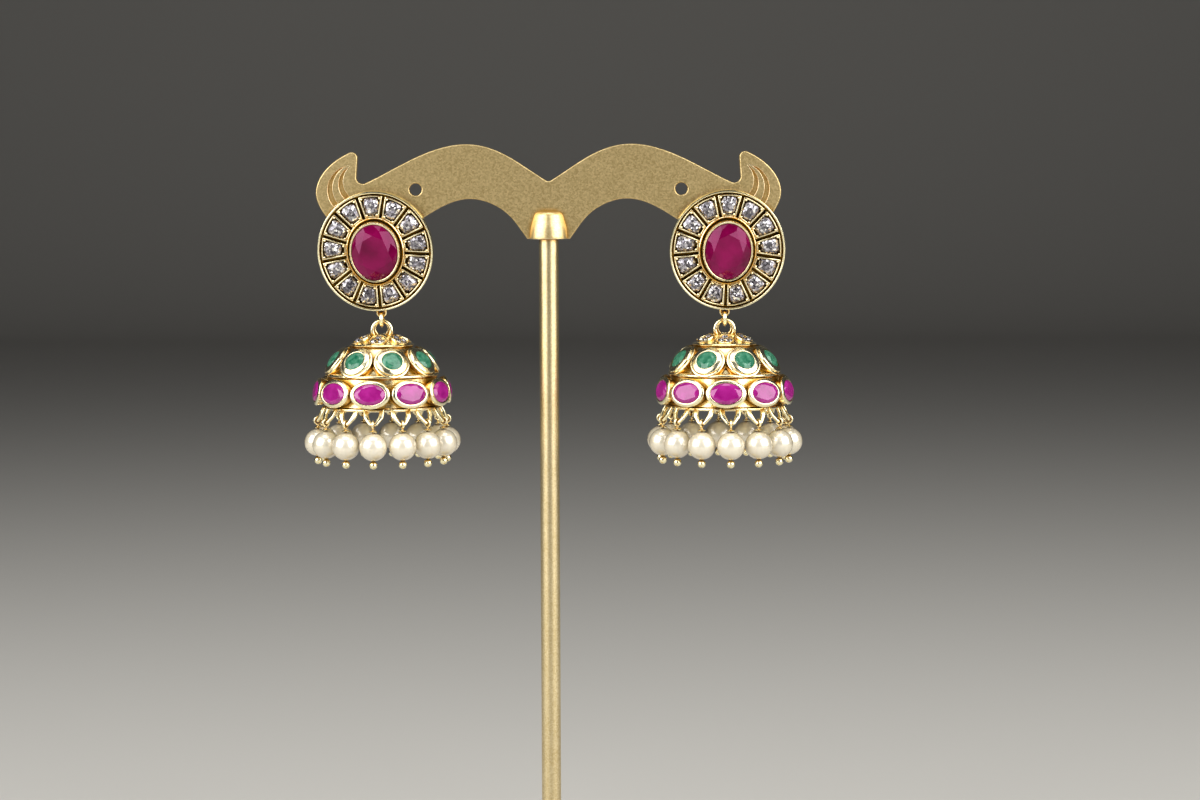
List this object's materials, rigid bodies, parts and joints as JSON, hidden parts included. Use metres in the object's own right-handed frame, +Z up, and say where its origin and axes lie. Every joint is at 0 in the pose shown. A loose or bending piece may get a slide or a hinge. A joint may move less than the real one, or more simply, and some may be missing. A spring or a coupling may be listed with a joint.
{
  "type": "pair of jhumka earrings on a display stand",
  "caption": "Pair of bell-shaped drop earrings with set stones and pearl fringes, hung by their ear posts from a T-shaped metal display stand.",
  "frame": {"origin": "centre of the round base's underside, on the surface that the stand rests on", "axes": "+Z up along the pole, +X along the crossbar, -Y the side that the studs' faces show to"},
  "size_m": [0.0745, 0.06, 0.125],
  "materials": {
    "satin_gold": "sand-blasted and gold-plated, fine satin grain",
    "polished_gold": "cast, gold-plated and polished",
    "ruby": "faceted deep crimson stone",
    "pink_ruby": "faceted pink ruby",
    "emerald": "faceted green stone",
    "crystal": "faceted clear crystal",
    "pearl": "nacre coat, soft lustre"
  },
  "bodies": {
    "stand": {"stand_base": "satin_gold", "stand_pole": "satin_gold", "stand_collar": "satin_gold", "stand_crossbar": "satin_gold", "left_stud_frame": "polished_gold", "left_stud_ruby": "ruby", "left_stud_crystals": "crystal", "right_stud_frame": "polished_gold", "right_stud_ruby": "ruby", "right_stud_crystals": "crystal"},
    "left_link": {"left_link_ring": "polished_gold"},
    "left_drop": {"left_dome_shell": "polished_gold", "left_ruby_01": "pink_ruby", "left_ruby_02": "pink_ruby", "left_ruby_03": "pink_ruby", "left_ruby_04": "pink_ruby", "left_ruby_05": "pink_ruby", "left_ruby_06": "pink_ruby", "left_ruby_07": "pink_ruby", "left_ruby_08": "pink_ruby", "left_ruby_09": "pink_ruby", "left_ruby_10": "pink_ruby", "left_emerald_01": "emerald", "left_emerald_02": "emerald", "left_emerald_03": "emerald", "left_emerald_04": "emerald", "left_emerald_05": "emerald", "left_emerald_06": "emerald", "left_emerald_07": "emerald", "left_emerald_08": "emerald", "left_crown_crystals": "crystal", "left_pearls": "pearl", "left_pearl_pins": "polished_gold"},
    "right_link": {"right_link_ring": "polished_gold"},
    "right_drop": {"right_dome_shell": "polished_gold", "right_ruby_01": "pink_ruby", "right_ruby_02": "pink_ruby", "right_ruby_03": "pink_ruby", "right_ruby_04": "pink_ruby", "right_ruby_05": "pink_ruby", "right_ruby_06": "pink_ruby", "right_ruby_07": "pink_ruby", "right_ruby_08": "pink_ruby", "right_ruby_09": "pink_ruby", "right_ruby_10": "pink_ruby", "right_emerald_01": "emerald", "right_emerald_02": "emerald", "right_emerald_03": "emerald", "right_emerald_04": "emerald", "right_emerald_05": "emerald", "right_emerald_06": "emerald", "right_emerald_07": "emerald", "right_emerald_08": "emerald", "right_crown_crystals": "crystal", "right_pearls": "pearl", "right_pearl_pins": "polished_gold"}
  },
  "joints": [
    {"name": "left_link_swing", "type": "hinge", "parent": "stand", "child": "left_link", "pos_m": [-0.02505, -0.00006, 0.09942], "axis": [0.9997, -0.0262, 0], "range_deg": [-35, 35]},
    {"name": "left_drop_swing", "type": "hinge", "parent": "left_link", "child": "left_drop", "pos_m": [-0.02505, -0.00006, 0.09809], "axis": [0.0262, 0.9997, 0], "range_deg": [-30, 30]},
    {"name": "right_link_swing", "type": "hinge", "parent": "stand", "child": "right_link", "pos_m": [0.02624, -0.00004, 0.0994], "axis": [0.9997, 0.0262, 0], "range_deg": [-35, 35]},
    {"name": "right_drop_swing", "type": "hinge", "parent": "right_link", "child": "right_drop", "pos_m": [0.02624, -0.00004, 0.09807], "axis": [-0.0262, 0.9997, 0], "range_deg": [-30, 30]}
  ]
}
